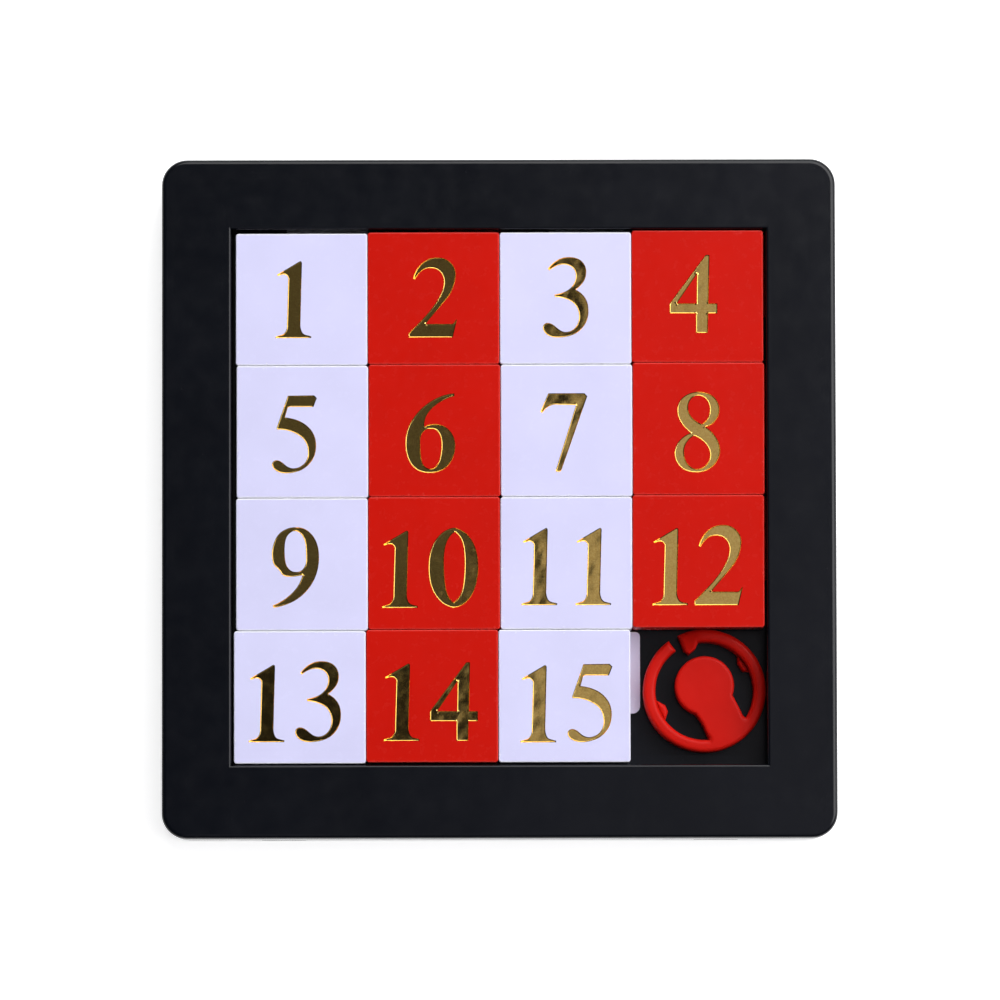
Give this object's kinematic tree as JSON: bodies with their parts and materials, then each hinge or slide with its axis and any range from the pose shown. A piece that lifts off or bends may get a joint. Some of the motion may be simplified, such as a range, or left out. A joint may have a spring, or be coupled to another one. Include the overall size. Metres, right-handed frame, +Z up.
{
  "type": "sliding tile puzzle",
  "caption": "Sliding tile puzzle: black snap-together frame, red and white hollow tiles with stamped gold numerals, and a keeper clip that lifts out of the empty cell.",
  "frame": {"origin": "centre of the base's flat underside, on the surface that the puzzle lies on", "axes": "+Z up out of the tray, +X to the right along a row with the numerals upright, +Y from the bottom row to the top row"},
  "size_m": [0.0964, 0.0972, 0.012],
  "materials": {
    "black_frame": "satin moulded black styrene",
    "white_tile": "gloss moulded cool white styrene",
    "red_tile": "gloss moulded red styrene",
    "gold_foil": "hot-stamped metallic gold foil, slightly rippled",
    "red_clip": "gloss moulded red polypropylene"
  },
  "bodies": {
    "frame": {"base_tray": "black_frame", "bezel": "black_frame", "tile_01": "white_tile", "tile_02": "red_tile", "tile_03": "white_tile", "tile_04": "red_tile", "tile_05": "white_tile", "tile_06": "red_tile", "tile_07": "white_tile", "tile_08": "red_tile", "tile_09": "white_tile", "tile_10": "red_tile", "tile_11": "white_tile", "tile_12": "red_tile", "numeral_01": "gold_foil", "numeral_02": "gold_foil", "numeral_03": "gold_foil", "numeral_04": "gold_foil", "numeral_05": "gold_foil", "numeral_06": "gold_foil", "numeral_07": "gold_foil", "numeral_08": "gold_foil", "numeral_09": "gold_foil", "numeral_10": "gold_foil", "numeral_11": "gold_foil", "numeral_12": "gold_foil"},
    "clip": {"keeper_clip": "red_clip"},
    "slider_13": {"tile_13": "white_tile", "numeral_13": "gold_foil"},
    "slider_14": {"tile_14": "red_tile", "numeral_14": "gold_foil"},
    "slider_15": {"tile_15": "white_tile", "numeral_15": "gold_foil"}
  },
  "joints": [
    {"name": "keeper_lift", "type": "slide", "parent": "frame", "child": "clip", "axis": [0, 0, 1], "range_m": [0, 0.0944]},
    {"name": "tile_13_slide", "type": "slide", "parent": "frame", "child": "slider_13", "axis": [1, 0, 0], "range_m": [0, 0.01888]},
    {"name": "tile_14_slide", "type": "slide", "parent": "frame", "child": "slider_14", "axis": [1, 0, 0], "range_m": [0, 0.01888]},
    {"name": "tile_15_slide", "type": "slide", "parent": "frame", "child": "slider_15", "axis": [1, 0, 0], "range_m": [0, 0.01888]}
  ],
  "couplings": [
    {"joint": "tile_13_slide", "follows": "keeper_lift", "ratio": 0.2},
    {"joint": "tile_14_slide", "follows": "keeper_lift", "ratio": 0.2},
    {"joint": "tile_15_slide", "follows": "keeper_lift", "ratio": 0.2}
  ]
}
